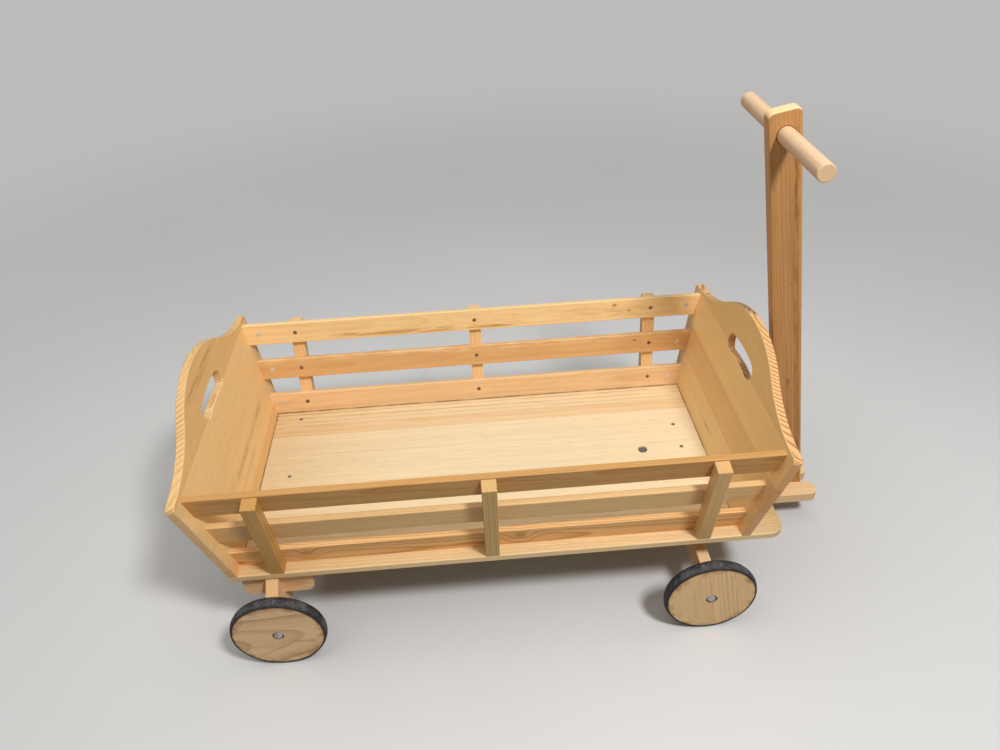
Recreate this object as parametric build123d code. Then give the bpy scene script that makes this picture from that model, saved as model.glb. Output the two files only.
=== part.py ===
from build123d import *
import math
import os

# A child's wooden pull wagon, in millimetres: leaning ladder sides between two
# scalloped end boards, a steered front axle and a tilting pull handle.
# The bed is drawn with x = 0 at its middle and z = 0 on the floor panel's top,
# then everything is moved so that the wheels stand on z = 0.

# Bed
bed_length = 889.0           # between the end boards, on the floor
bed_width = 408.6            # between the ladder sides, on the floor
end_lean = 10.4              # outward lean of the end boards, degrees
side_lean = 10.35            # outward lean of the ladder sides, degrees
foot_allowance = 12.0        # length planed off where a leaning piece meets the floor
edge_round = 1.8             # softened edge of sawn timber

# Floor panel
floor_thickness = 13.0
floor_nose = 64.0            # panel in front of the front end board
floor_corner = 26.0

# End boards, heights taken along the board
end_thickness = 16.0
end_tip_margin = 8.0         # tip above the top slat's edge
end_hump_rise = 85.0         # hump above the tips
end_bend_rise = 46.5         # where the hump turns into the shoulder
end_bend_half_width = 125.0
end_tip_round = 9.0
end_edge_round = 2.5
hand_hole_height = 32.0
hand_hole_half_span = 46.0   # to the centre of a rounded end
hand_hole_drop = 81.0        # rounded ends below the hump's top
hand_hole_rise = 4.0

# Ladder sides
slat_thickness = 12.0
slat_width = 45.0
slat_pitch = 82.0
lowest_slat_top = 46.0
stake_width = 25.0
stake_depth = 24.0
stake_inset = 68.5           # outer stakes to the end boards, on the floor
stake_drop = 2.0             # stake's end below the top slat's edge

# Fasteners
fit_gap = 0.05               # radial room of a fastener in its hole
screw_bite = 18.0            # depth in the second piece
long_screw_bite = 24.0
foot_screw_shift = 5.5       # foot screw beside the slat screws
screw_shank = 4.0
screw_head = 8.4
screw_head_height = 3.0
screw_tip = 6.0
screw_recess_span = 5.0
screw_recess_width = 1.3
screw_recess_depth = 1.6
end_screw_inset = 8.5        # from the end board's inner face
end_screw_margin = 61.0      # from the floor's side edge
nut_setback = 25.5           # barrel nut to the end board's inner face
nut_diameter = 10.0
nut_skin = 2.0               # wood left behind a barrel nut
nut_slot = 1.4
connector_shank = 6.0
connector_tail = 9.0         # bolt past the barrel nut's axis
connector_head = 15.0
connector_head_height = 2.2
connector_socket = 4.0
connector_seat = 1.2         # depth of the spot face under the head

# Wheels and axles
wheel_radius = 80.0
wheel_width = 22.0
wheel_edge_round = 2.0
tyre_thickness = 5.0         # at the crown
tyre_wall = 1.5              # at the sides
axle_diameter = 10.0
axle_inset = 54.5            # axles inside the end boards' feet
axle_edge = 9.5              # axle's centre above the beam's underside
running_gap = 0.05           # radial room of a turning bore
washer_diameter = 24.0
washer_thickness = 3.6
side_play = 0.4
cap_diameter = 16.5
cap_rim = 2.0
cap_crown = 4.0
cap_bore_depth = 4.0
hub_ring = 2.25              # recess round the cap
hub_recess_depth = 4.0

# Axle beams and rear gussets
beam_thickness = 22.0
beam_height = 48.0
beam_overhang = 23.0         # beam past the floor's side edge
rear_slope_width = 29.0      # sloped upper corner of the rear axle board
rear_slope_height = 23.0
rear_screw_margin = 65.0     # from the floor's side edge
gusset_thickness = 22.0
gusset_depth = 53.0
gusset_rear_length = 46.0
gusset_front_length = 56.0
gusset_inset = 13.0          # gusset's outer face inside the floor's edge
gusset_corner = 16.0

# Steering
kingpin_setback = 70.0       # kingpin behind the front axle
kingpin_diameter = 8.0
kingpin_head_across = 13.0
kingpin_head_height = 5.3
kingpin_recess = 19.0
kingpin_recess_depth = 7.0
kingpin_tail = 3.0
plank_thickness = 28.0       # bolster and turntable stock
bolster_length = 136.0
bolster_width = 180.0
bolster_margin = 28.0        # bolster behind the kingpin
bolster_screw_margin = 28.0  # from the bolster's front
bolster_screw_edge = 21.0    # from the bolster's sides
pivot_washer_diameter = 40.0
pivot_washer_thickness = 1.2
turn_gap = 0.3               # play above and below the turntable
turntable_width = 140.0
turntable_margin = 30.0
lock_washer_diameter = 24.0
lock_washer_thickness = 1.6
lock_nut_height = 8.0
block_clearance = 11.0       # bogie block to the lock washer
turntable_screw_inset = 6.0  # from the bogie block's sides

# Drawbar and handle
arm_width = 36.0
arm_thickness = 22.0
arm_length = 347.0
arm_corner = 14.0
arm_screw_inset = 9.0        # from the bogie block's faces
spacer_length = 52.0
pole_pin_inset = 48.0        # pivot behind the arms' ends
pole_thickness = 22.0
pole_width = 53.0
pole_reach = 823.0           # pivot to the pole's top
pole_lean = 11.4             # backward lean at rest, degrees
pole_top_corner = 11.0
pole_edge_round = 3.2
pole_side_gap = 0.35
pole_stop_gap = 0.3
pivot_diameter = 8.0
pivot_head_across = 13.0
pivot_head_height = 5.3
pivot_depth = 24.0           # bolt's depth in the blind arm
insert_diameter = 12.0
insert_length = 16.0
dowel_diameter = 28.0
dowel_length = 320.0
dowel_from_top = 39.0
dowel_round = 2.0
dowel_seat_relief = 0.2      # glue room round the dowel inside the pole
dowel_seat_margin = 1.0      # relief past the pole's faces

# Values that follow from the sizes above
end_sin = math.sin(math.radians(end_lean))
end_cos = math.cos(math.radians(end_lean))
end_tan = end_sin / end_cos
side_sin = math.sin(math.radians(side_lean))
side_cos = math.cos(math.radians(side_lean))
side_tan = side_sin / side_cos
bed_half = bed_length / 2
floor_half = bed_width / 2 + (slat_thickness + stake_depth) / side_cos
end_foot = end_thickness / end_cos
floor_rear = -(bed_half + end_foot)
floor_front = bed_half + end_foot + floor_nose
slat_levels = {
    "bottom": lowest_slat_top - slat_width / 2,
    "middle": lowest_slat_top - slat_width / 2 + slat_pitch,
    "top": lowest_slat_top - slat_width / 2 + 2 * slat_pitch,
}
side_top = slat_levels["top"] + slat_width / 2
stake_spacing = bed_half - stake_inset
stake_places = {"rear": -stake_spacing, "middle": 0.0, "front": stake_spacing}
end_tip_height = side_top + end_tip_margin
end_hump_height = end_tip_height + end_hump_rise
end_bend_height = end_tip_height + end_bend_rise
hand_hole_level = end_hump_height - hand_hole_drop
nut_length = slat_thickness - nut_skin

turntable_top = -floor_thickness - plank_thickness - pivot_washer_thickness - turn_gap
beam_top = turntable_top - plank_thickness
beam_bottom = beam_top - beam_height
axle_z = beam_bottom + axle_edge
floor_height = wheel_radius + tyre_thickness - axle_z
axle_reach = bed_half - axle_inset
beam_half_length = floor_half + beam_overhang
wheel_inner = beam_half_length + washer_thickness + side_play
wheel_middle = wheel_inner + wheel_width / 2
wheel_outer = wheel_inner + wheel_width
cap_foot = wheel_outer - hub_recess_depth + side_play
axle_half_length = cap_foot + cap_bore_depth
hub_recess = cap_diameter + 2 * hub_ring

arm_inner = pole_thickness / 2 + pole_side_gap
arm_outer = arm_inner + arm_width
arm_bottom = beam_bottom - arm_thickness
pole_pin_z = beam_bottom - arm_thickness / 2
kingpin_x = axle_reach - kingpin_setback
block_rear = kingpin_x + lock_washer_diameter / 2 + block_clearance
block_front = axle_reach - beam_thickness / 2
arm_front = block_rear + arm_length
pole_pin_x = arm_front - pole_pin_inset
bolster_rear = kingpin_x - bolster_margin
bolster_front = bolster_rear + bolster_length

side_place = Pos(0, bed_width / 2, 0) * Rot(X=-side_lean)
end_place = Pos(bed_half, 0, 0) * Rot(Y=end_lean)
pole_place = Pos(pole_pin_x, 0, pole_pin_z) * Rot(Y=-pole_lean)
point_up = Rot(X=180)
point_left = Rot(X=90)

pieces = {}


# Shared shapes
def block(x_range, y_range, z_range):
    lower = (Align.MIN, Align.MIN, Align.MIN)
    size = [span[1] - span[0] for span in (x_range, y_range, z_range)]
    return Pos(x_range[0], y_range[0], z_range[0]) * Box(*size, align=lower)


def turned(profile):
    outline = Polyline(*[(radius, 0, height) for radius, height in profile], close=True)
    return revolve(make_face(outline), axis=Axis.Z)


def ring(outer, inner, thickness):
    upward = (Align.CENTER, Align.CENTER, Align.MIN)
    return Cylinder(outer, thickness, align=upward) - Cylinder(inner, thickness, align=upward)


def hexagon(across, height):
    return extrude(RegularPolygon(across / 2, 6, major_radius=False), amount=height)


def mirrored(shape):
    return [shape, mirror(shape, about=Plane.XZ)]


def four_ways(shape):
    return mirrored(shape) + mirrored(mirror(shape, about=Plane.YZ))


def group(shapes):
    return Compound([solid for shape in shapes for solid in shape.solids()])


def drilled(shape, tools):
    for tool in tools:
        shape = shape - tool
    return shape


# Countersunk wood screw, head at the origin and point towards -Z
def screw_hole(length):
    head = screw_head / 2 + fit_gap
    shank = screw_shank / 2 + fit_gap
    rim = screw_head_height
    outline = [(0, rim), (head, rim), (head, 0), (shank, -screw_head_height)]
    outline += [(shank, -length - fit_gap), (0, -length - fit_gap)]
    return turned(outline)


def wood_screw(length):
    shank = screw_shank / 2
    outline = [(0, 0), (screw_head / 2, 0), (shank, -screw_head_height)]
    outline += [(shank, screw_tip - length), (0, -length)]
    wing = Box(screw_recess_span, screw_recess_width, 2 * screw_recess_depth)
    return turned(outline) - wing - Rot(Z=90) * wing


slat_screw = wood_screw(slat_thickness + screw_bite)
slat_hole = screw_hole(slat_thickness + screw_bite)
floor_screw = wood_screw(floor_thickness + screw_bite)
floor_hole = screw_hole(floor_thickness + screw_bite)
turntable_screw = wood_screw(plank_thickness + long_screw_bite)
turntable_hole = screw_hole(plank_thickness + long_screw_bite)
arm_screw = wood_screw(arm_thickness + long_screw_bite)
arm_hole = screw_hole(arm_thickness + long_screw_bite)


# Places of the fasteners that join two pieces
def slat_screw_places():
    spots = [(x, level) for level in slat_levels.values() for x in stake_places.values()]
    return [side_place * Pos(x, 0, level) * point_left for x, level in spots]


def stake_foot_places():
    foot_y = bed_width / 2 + (slat_thickness + stake_depth / 2) / side_cos
    along = [x + foot_screw_shift for x in stake_places.values()]
    return [Pos(x, foot_y, -floor_thickness) * point_up for x in along]


def end_foot_places():
    x = bed_half + end_screw_inset
    outer = floor_half - end_screw_margin
    return [Pos(x, y, -floor_thickness) * point_up for y in (outer / 3, outer)]


def rear_floor_places():
    outer = floor_half - rear_screw_margin
    return [Pos(-axle_reach, y, 0) for y in (-outer, 0, outer)]


def bolster_places():
    outer = bolster_width / 2 - bolster_screw_edge
    return [Pos(bolster_front - bolster_screw_margin, y, 0) for y in (-outer, 0, outer)]


def turntable_places():
    outer = arm_outer - turntable_screw_inset
    along = ((block_rear + block_front) / 2, axle_reach)
    return [Pos(x, y, turntable_top) for x in along for y in (-outer, outer)]


def arm_places():
    along = (block_rear + arm_screw_inset, block_front - arm_screw_inset)
    middle = (arm_inner + arm_outer) / 2
    return [Pos(x, side * middle, arm_bottom) * point_up for x in along for side in (-1, 1)]


# Connector bolt and barrel nut that draw a slat's end to an end board
connector_drop = math.degrees(math.atan(end_tan * side_cos))
connector_pace = (
    math.cos(math.radians(connector_drop)) * end_cos
    + math.sin(math.radians(connector_drop)) * end_sin * side_cos
)
connector_reach = (nut_setback * end_cos + end_thickness) / connector_pace - connector_seat


def connector_places():
    places = []
    for level in slat_levels.values():
        height = level * side_cos - slat_thickness / 2 * side_sin
        nut_x = bed_half + height * end_tan - nut_setback
        places.append(side_place * Pos(nut_x, slat_thickness / 2, level) * Rot(Y=connector_drop))
    return places


def connector_bolt():
    shank = connector_shank / 2
    head = connector_head / 2
    top = connector_reach + connector_head_height
    bevel = connector_head_height / 2
    outline = [(0, -connector_tail), (shank, -connector_tail), (shank, connector_reach)]
    outline += [(head, connector_reach), (head, top - bevel), (head - bevel, top), (0, top)]
    socket = Pos(0, 0, connector_reach) * hexagon(connector_socket, 2 * connector_head_height)
    return Rot(Y=90) * (turned(outline) - socket)


def connector_hole():
    shank = connector_shank / 2 + fit_gap
    head = connector_head / 2 + fit_gap
    beyond = connector_reach + 3 * connector_head_height
    outline = [(0, -connector_tail - fit_gap), (shank, -connector_tail - fit_gap)]
    outline += [(shank, connector_reach), (head, connector_reach), (head, beyond), (0, beyond)]
    return Rot(Y=90) * turned(outline)


def barrel_nut():
    barrel = Pos(0, -slat_thickness / 2, 0) * Rot(X=-90) * Cylinder(
        nut_diameter / 2, nut_length, align=(Align.CENTER, Align.CENTER, Align.MIN)
    )
    bore = Rot(Y=90) * Cylinder(connector_shank / 2 + fit_gap, 2 * nut_diameter)
    slot = Pos(0, -slat_thickness / 2, 0) * Box(2 * nut_diameter, 2 * nut_slot, nut_slot)
    return barrel - bore - slot


def barrel_hole():
    depth = nut_length + fit_gap
    return Pos(0, -slat_thickness / 2, 0) * Rot(X=-90) * Cylinder(
        nut_diameter / 2 + fit_gap, depth, align=(Align.CENTER, Align.CENTER, Align.MIN)
    )


connector_tools = []
for connector_place in connector_places():
    connector_tools += [connector_place * connector_hole(), connector_place * barrel_hole()]
slat_screw_tools = [place * slat_hole for place in slat_screw_places()]
stake_foot_tools = [place * floor_hole for place in stake_foot_places()]
end_foot_tools = [place * floor_hole for place in end_foot_places()]
bed_top = end_hump_height + foot_allowance
bed_wedge = extrude(
    Plane.XZ * make_face(
        Polyline(
            (-bed_half, 0),
            (bed_half, 0),
            (bed_half + bed_top * end_tan, bed_top),
            (-bed_half - bed_top * end_tan, bed_top),
            close=True,
        )
    ),
    amount=2 * floor_half,
    both=True,
)


# Floor panel
def floor_board():
    outline = Pos((floor_rear + floor_front) / 2, 0) * Rectangle(floor_front - floor_rear, 2 * floor_half)
    outline = fillet(outline.vertices().group_by(Axis.X)[-1], floor_corner)
    panel = extrude(outline, amount=-floor_thickness)
    rims = panel.edges().group_by(Axis.Z)
    panel = fillet(rims[0] + rims[-1], edge_round)
    bore = Cylinder(kingpin_diameter / 2 + fit_gap, 4 * floor_thickness)
    recess = Cylinder(kingpin_recess / 2, 2 * kingpin_recess_depth)
    panel = panel - Pos(kingpin_x, 0, 0) * (bore + recess)
    tools = [place * floor_hole for place in rear_floor_places() + bolster_places()]
    for foot in stake_foot_tools:
        tools += mirrored(foot)
    for foot in end_foot_tools:
        tools += four_ways(foot)
    return drilled(panel, tools)


# Scalloped end board with a hand hole, drawn as the front one
def end_board():
    foot = floor_half - foot_allowance * end_cos * side_tan
    tip = floor_half + end_tip_height * end_cos * side_tan
    base = Line((0, -foot_allowance), (foot, -foot_allowance))
    edge = Line(base @ 1, (tip, end_tip_height))
    hump = TangentArc((0, end_hump_height), (end_bend_half_width, end_bend_height), tangent=(1, 0))
    shoulder = TangentArc(hump @ 1, edge @ 1, tangent=hump % 1)
    half = Curve() + [base, edge, shoulder, hump]
    outline = make_face(half + mirror(half, about=Plane.YZ))
    corners = outline.vertices().group_by(Axis.X)
    outline = fillet(corners[0] + corners[-1], end_tip_round)
    span = ThreePointArc(
        (-hand_hole_half_span, hand_hole_level),
        (0, hand_hole_level + hand_hole_rise),
        (hand_hole_half_span, hand_hole_level),
    )
    outline = outline - SlotArc(span, hand_hole_height)
    board = extrude(Plane.YZ * outline, amount=end_thickness)
    rims = board.faces().sort_by(Axis.X)
    soft = [e for face in (rims[0], rims[-1]) for e in face.edges() if e.center().Z > 0]
    board = end_place * fillet(soft, end_edge_round)
    board = split(board, bisect_by=Plane.XY, keep=Keep.TOP)
    tools = [tool for feet in end_foot_tools for tool in mirrored(feet)]
    for connector in connector_tools:
        tools += mirrored(connector)
    return drilled(board, tools)


# Ladder sides: three slats screwed to three stakes, drawn as the left one
def slat(name):
    top = slat_levels[name] + slat_width / 2
    bottom = -foot_allowance if name == "bottom" else top - slat_width
    length = bed_length + 2 * bed_top
    bar = block((-length / 2, length / 2), (0, slat_thickness), (bottom, top))
    bar = side_place * fillet(bar.edges().filter_by(Axis.X), edge_round)
    bar = bar & bed_wedge
    tools = list(slat_screw_tools)
    for connector in connector_tools:
        tools += [connector, mirror(connector, about=Plane.YZ)]
    return drilled(bar, tools)


def stake(name):
    x = stake_places[name]
    post = block(
        (x - stake_width / 2, x + stake_width / 2),
        (slat_thickness, slat_thickness + stake_depth),
        (-foot_allowance, side_top - stake_drop),
    )
    soft = [e for e in post.edges() if e.center().Z > -foot_allowance]
    post = side_place * fillet(soft, edge_round)
    post = split(post, bisect_by=Plane.XY, keep=Keep.TOP)
    return drilled(post, slat_screw_tools + stake_foot_tools)


pieces["floor_board"] = floor_board()
pieces["front_end_board"] = end_board()
pieces["rear_end_board"] = mirror(pieces["front_end_board"], about=Plane.YZ)
for slat_name in slat_levels:
    pieces[f"left_{slat_name}_slat"] = slat(slat_name)
    pieces[f"right_{slat_name}_slat"] = mirror(pieces[f"left_{slat_name}_slat"], about=Plane.XZ)
for stake_name in stake_places:
    pieces[f"left_{stake_name}_stake"] = stake(stake_name)
    pieces[f"right_{stake_name}_stake"] = mirror(pieces[f"left_{stake_name}_stake"], about=Plane.XZ)



def on_both_sides(places, shape):
    return group([copy for place in places for copy in mirrored(place * shape)])


def at_four_corners(places, shape):
    return group([copy for place in places for copy in four_ways(place * shape)])


pieces["slat_screws"] = on_both_sides(slat_screw_places(), slat_screw)
pieces["stake_foot_screws"] = on_both_sides(stake_foot_places(), floor_screw)
pieces["end_board_screws"] = at_four_corners(end_foot_places(), floor_screw)
pieces["barrel_nuts"] = at_four_corners(connector_places(), barrel_nut())
pieces["connector_bolts"] = at_four_corners(connector_places(), connector_bolt())


# Axle, washers and caps, drawn about x = 0 with the axle along Y
def axle_rod():
    return Rot(X=90) * Cylinder(axle_diameter / 2, 2 * axle_half_length)


def axle_bore():
    return Rot(X=90) * Cylinder(axle_diameter / 2 + fit_gap, 4 * axle_half_length)


def axle_washers():
    washer = ring(washer_diameter / 2, axle_diameter / 2 + fit_gap, washer_thickness)
    return mirrored(Pos(0, beam_half_length, 0) * Rot(X=-90) * washer)


def axle_caps():
    outer = cap_diameter / 2
    cap_height = cap_rim + cap_crown
    dome_radius = (outer**2 + cap_crown**2) / (2 * cap_crown)
    rim = Cylinder(outer, cap_height, align=(Align.CENTER, Align.CENTER, Align.MIN))
    bore = Cylinder(axle_diameter / 2 + fit_gap, 2 * (cap_bore_depth + fit_gap))
    cap = (rim & Pos(0, 0, cap_height - dome_radius) * Sphere(dome_radius)) - bore
    return mirrored(Pos(0, cap_foot, 0) * Rot(X=-90) * cap)


# Wheel with its hub recess outwards, drawn as a left one
def wheel_disc():
    disc = Cylinder(wheel_radius, wheel_width)
    disc = fillet(disc.edges().filter_by(GeomType.CIRCLE), wheel_edge_round)
    recess = Pos(0, 0, wheel_width / 2) * Cylinder(hub_recess / 2, 2 * hub_recess_depth)
    disc = disc - Cylinder(axle_diameter / 2 + running_gap, 2 * wheel_width) - recess
    return Pos(0, wheel_middle, 0) * Rot(X=-90) * disc


def tyre():
    half = wheel_width / 2
    bead = Line((wheel_radius, -half), (wheel_radius, half))
    wall = Line(bead @ 1, (wheel_radius + tyre_wall, half))
    crown_top = (wheel_radius + tyre_thickness, 0)
    crown = ThreePointArc(wall @ 1, crown_top, (wheel_radius + tyre_wall, -half))
    section = make_face(Curve() + [bead, wall, crown, Line(crown @ 1, bead @ 0)])
    return Pos(0, wheel_middle, 0) * revolve(section, Axis.Y)


wheel_sides = {"left": (wheel_disc(), tyre())}
wheel_sides["right"] = [mirror(shape, about=Plane.XZ) for shape in wheel_sides["left"]]
for end_name, end_x in (("rear", -axle_reach), ("front", axle_reach)):
    axle_place = Pos(end_x, 0, axle_z)
    pieces[f"{end_name}_axle"] = axle_place * axle_rod()
    pieces[f"{end_name}_axle_washers"] = group([axle_place * washer for washer in axle_washers()])
    pieces[f"{end_name}_axle_caps"] = group([axle_place * cap for cap in axle_caps()])
    for side_name, (disc, band) in wheel_sides.items():
        pieces[f"{end_name}_{side_name}_wheel"] = axle_place * disc
        pieces[f"{end_name}_{side_name}_tyre"] = axle_place * band


# Rear axle board with sloped upper corners, braced to the floor by gussets
def rear_axle_board():
    top = -floor_thickness
    shelf = beam_half_length - rear_slope_width
    half = Polyline(
        (0, beam_bottom),
        (beam_half_length, beam_bottom),
        (beam_half_length, top - rear_slope_height),
        (shelf, top),
        (0, top),
    )
    outline = make_face(half + mirror(half, about=Plane.YZ))
    board = extrude(Plane.YZ * outline, amount=beam_thickness / 2, both=True)
    rims = board.faces().sort_by(Axis.X)
    soft = [e for face in (rims[0], rims[-1]) for e in face.edges() if e.center().Z < top]
    board = Pos(-axle_reach, 0, 0) * fillet(soft, edge_round)
    bore = Pos(-axle_reach, 0, axle_z) * axle_bore()
    return drilled(board, [bore] + [place * floor_hole for place in rear_floor_places()])


def gusset(near_x, far_x):
    outer = floor_half - gusset_inset
    brace = block(
        (min(near_x, far_x), max(near_x, far_x)),
        (outer - gusset_thickness, outer),
        (-floor_thickness - gusset_depth, -floor_thickness),
    )
    low_edges = brace.edges().filter_by(Axis.Y).group_by(Axis.Z)[0].sort_by(Axis.X)
    return fillet(low_edges[-1 if far_x > near_x else 0], gusset_corner)


board_rear = -axle_reach - beam_thickness / 2
board_front = -axle_reach + beam_thickness / 2
pieces["rear_axle_board"] = rear_axle_board()
rear_gusset = gusset(board_rear, board_rear - gusset_rear_length)
front_gusset = gusset(board_front, board_front + gusset_front_length)
for gusset_name, shape in (("rear", rear_gusset), ("front", front_gusset)):
    pieces[f"left_{gusset_name}_gusset"] = shape
    pieces[f"right_{gusset_name}_gusset"] = mirror(shape, about=Plane.XZ)
pieces["rear_floor_screws"] = group([place * floor_screw for place in rear_floor_places()])


# Bolster under the floor and the kingpin that the front bogie turns on
def bolster():
    plank = block(
        (bolster_rear, bolster_front),
        (-bolster_width / 2, bolster_width / 2),
        (-floor_thickness - plank_thickness, -floor_thickness),
    )
    plank = fillet(plank.edges().group_by(Axis.Z)[0], edge_round)
    bore = Pos(kingpin_x, 0, 0) * Cylinder(kingpin_diameter / 2 + fit_gap, 4 * plank_thickness)
    return drilled(plank, [bore] + [place * floor_hole for place in bolster_places()])


lock_washer_top = beam_top - turn_gap
lock_nut_top = lock_washer_top - lock_washer_thickness
kingpin_end = lock_nut_top - lock_nut_height - kingpin_tail


def kingpin():
    head_foot = -kingpin_recess_depth
    shank = Pos(0, 0, kingpin_end) * Cylinder(
        kingpin_diameter / 2, head_foot - kingpin_end, align=(Align.CENTER, Align.CENTER, Align.MIN)
    )
    head = Pos(0, 0, head_foot) * hexagon(kingpin_head_across, kingpin_head_height)
    return Pos(kingpin_x, 0, 0) * (shank + head)


def kingpin_ring(diameter, thickness, top):
    washer = ring(diameter / 2, kingpin_diameter / 2 + fit_gap, thickness)
    return Pos(kingpin_x, 0, top - thickness) * washer


def lock_nut():
    bore = Cylinder(kingpin_diameter / 2 + fit_gap, 4 * lock_nut_height)
    return Pos(kingpin_x, 0, lock_nut_top - lock_nut_height) * (
        hexagon(kingpin_head_across, lock_nut_height) - bore
    )


pieces["front_bolster"] = bolster()
pieces["bolster_screws"] = group([place * floor_screw for place in bolster_places()])
pieces["kingpin_bolt"] = kingpin()
pieces["pivot_washer"] = kingpin_ring(
    pivot_washer_diameter, pivot_washer_thickness, -floor_thickness - plank_thickness
)
pieces["lock_washer"] = kingpin_ring(lock_washer_diameter, lock_washer_thickness, lock_washer_top)
pieces["lock_nut"] = lock_nut()


# Front bogie: turntable board, axle beam, block and the two drawbar arms
def turntable_board():
    plank = block(
        (kingpin_x - turntable_margin, axle_reach + turntable_margin),
        (-turntable_width / 2, turntable_width / 2),
        (beam_top, turntable_top),
    )
    plank = fillet(plank.edges().filter_by(Axis.Z), edge_round)
    bore = Pos(kingpin_x, 0, beam_top) * Cylinder(kingpin_diameter / 2 + running_gap, 4 * plank_thickness)
    return drilled(plank, [bore] + [place * turntable_hole for place in turntable_places()])


def front_axle_beam():
    beam = block(
        (axle_reach - beam_thickness / 2, axle_reach + beam_thickness / 2),
        (-beam_half_length, beam_half_length),
        (beam_bottom, beam_top),
    )
    beam = fillet(beam.edges().filter_by(Axis.Y), edge_round)
    bore = Pos(axle_reach, 0, axle_z) * axle_bore()
    return drilled(beam, [bore] + [place * turntable_hole for place in turntable_places()])


def bogie_block():
    timber = block(
        (block_rear, block_front),
        (-arm_outer, arm_outer),
        (beam_bottom, beam_top),
    )
    timber = fillet(timber.edges().filter_by(Axis.Z).group_by(Axis.X)[0], edge_round)
    tools = [place * turntable_hole for place in turntable_places()]
    tools += [place * arm_hole for place in arm_places()]
    return drilled(timber, tools)


def pivot_bore(radius, y_range):
    length = y_range[1] - y_range[0]
    centre = (y_range[0] + y_range[1]) / 2
    return Pos(pole_pin_x, centre, pole_pin_z) * Rot(X=90) * Cylinder(radius, length)


def drawbar_arm(side):
    middle = side * (arm_inner + arm_outer) / 2
    outline = Pos((block_rear + arm_front) / 2, middle) * Rectangle(arm_front - block_rear, arm_width)
    outline = fillet(outline.vertices().group_by(Axis.X)[-1], arm_corner)
    arm = Pos(0, 0, arm_bottom) * extrude(outline, amount=arm_thickness)
    arm = fillet(arm.edges().group_by(Axis.Z)[0], edge_round)
    return drilled(arm, [place * arm_hole for place in arm_places()])


def arm_spacer():
    lean = math.tan(math.radians(pole_lean))
    stop = pole_pin_x - (pole_width / 2 + pole_stop_gap) / math.cos(math.radians(pole_lean))
    high_x = stop - (beam_bottom - pole_pin_z) * lean
    low_x = stop - (arm_bottom - pole_pin_z) * lean
    outline = Polyline(
        (high_x, beam_bottom),
        (low_x, arm_bottom),
        (stop - spacer_length, arm_bottom),
        (stop - spacer_length, beam_bottom),
        close=True,
    )
    return extrude(Plane.XZ * make_face(outline), amount=arm_inner, both=True)


pieces["turntable_board"] = turntable_board()
pieces["front_axle_beam"] = front_axle_beam()
pieces["bogie_block"] = bogie_block()
pieces["left_drawbar_arm"] = drawbar_arm(1) - pivot_bore(
    pivot_diameter / 2 + fit_gap, (0, 2 * arm_outer)
)
blind_end = -arm_inner - pivot_depth - fit_gap
insert_end = -arm_inner - insert_length
pieces["right_drawbar_arm"] = drilled(
    drawbar_arm(-1),
    [
        pivot_bore(pivot_diameter / 2 + fit_gap, (blind_end, 0)),
        pivot_bore(insert_diameter / 2 + fit_gap, (insert_end, 0)),
    ],
)
pieces["arm_spacer"] = arm_spacer()
pieces["turntable_screws"] = group([place * turntable_screw for place in turntable_places()])
pieces["arm_screws"] = group([place * arm_screw for place in arm_places()])


# Pivot bolt of the pull handle, screwed into an insert in the right arm
def pole_pivot_bolt():
    seat = arm_outer + pivot_washer_thickness
    shank = pivot_bore(pivot_diameter / 2, (-arm_inner - pivot_depth, seat))
    head = Pos(pole_pin_x, seat, pole_pin_z) * Rot(X=-90) * hexagon(pivot_head_across, pivot_head_height)
    return shank + head


pieces["pole_pivot_bolt"] = pole_pivot_bolt()
pieces["pole_pivot_washer"] = (
    Pos(pole_pin_x, arm_outer, pole_pin_z)
    * Rot(X=-90)
    * ring(lock_washer_diameter / 2, pivot_diameter / 2 + fit_gap, pivot_washer_thickness)
)
pieces["pole_pivot_insert"] = (
    Pos(pole_pin_x, -arm_inner, pole_pin_z)
    * Rot(X=90)
    * ring(insert_diameter / 2, pivot_diameter / 2 + fit_gap, insert_length)
)


# Pull handle: a flat pole with a cross dowel, drawn upright on its pivot
def handle_pole():
    half = pole_width / 2
    outline = Pos(0, pole_reach / 2) * Rectangle(pole_width, pole_reach)
    outline = fillet(outline.vertices().group_by(Axis.Y)[-1], pole_top_corner)
    outline = outline + Circle(half)
    pole = extrude(Plane.XZ * outline, amount=pole_thickness / 2, both=True)
    rims = pole.faces().sort_by(Axis.Y)
    pole = fillet(rims[0].edges() + rims[-1].edges(), pole_edge_round)
    pin = Rot(X=90) * Cylinder(pivot_diameter / 2 + running_gap, 2 * pole_thickness)
    grip = Rot(X=90) * Cylinder(dowel_diameter / 2 + fit_gap, 2 * pole_thickness)
    return pole_place * (pole - pin - Pos(0, 0, pole_reach - dowel_from_top) * grip)


def handle_dowel():
    dowel = Rot(X=90) * Cylinder(dowel_diameter / 2, dowel_length)
    dowel = fillet(dowel.edges().filter_by(GeomType.CIRCLE), dowel_round)
    seat_length = pole_thickness + 2 * dowel_seat_margin
    relief = ring(dowel_diameter, dowel_diameter / 2 - dowel_seat_relief, seat_length)
    dowel = dowel - Pos(0, seat_length / 2, 0) * Rot(X=90) * relief
    return pole_place * Pos(0, 0, pole_reach - dowel_from_top) * dowel


pieces["handle_pole"] = handle_pole()
pieces["handle_dowel"] = handle_dowel()

# The origin is on the ground, under the middle of the wagon's length
rear_most = pieces["rear_end_board"].bounding_box().min.X
front_most = max(arm_front, pole_pin_x + pole_width / 2)
to_ground = Pos(-(rear_most + front_most) / 2, 0, floor_height)

os.makedirs("parts", exist_ok=True)
for piece_name, piece in pieces.items():
    export_step(to_ground * piece, f"parts/{piece_name}.step")

print(f"{len(pieces)} pieces, moved by {to_ground.position.X:.3f} and {to_ground.position.Z:.3f}")
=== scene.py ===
import math
import random

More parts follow.
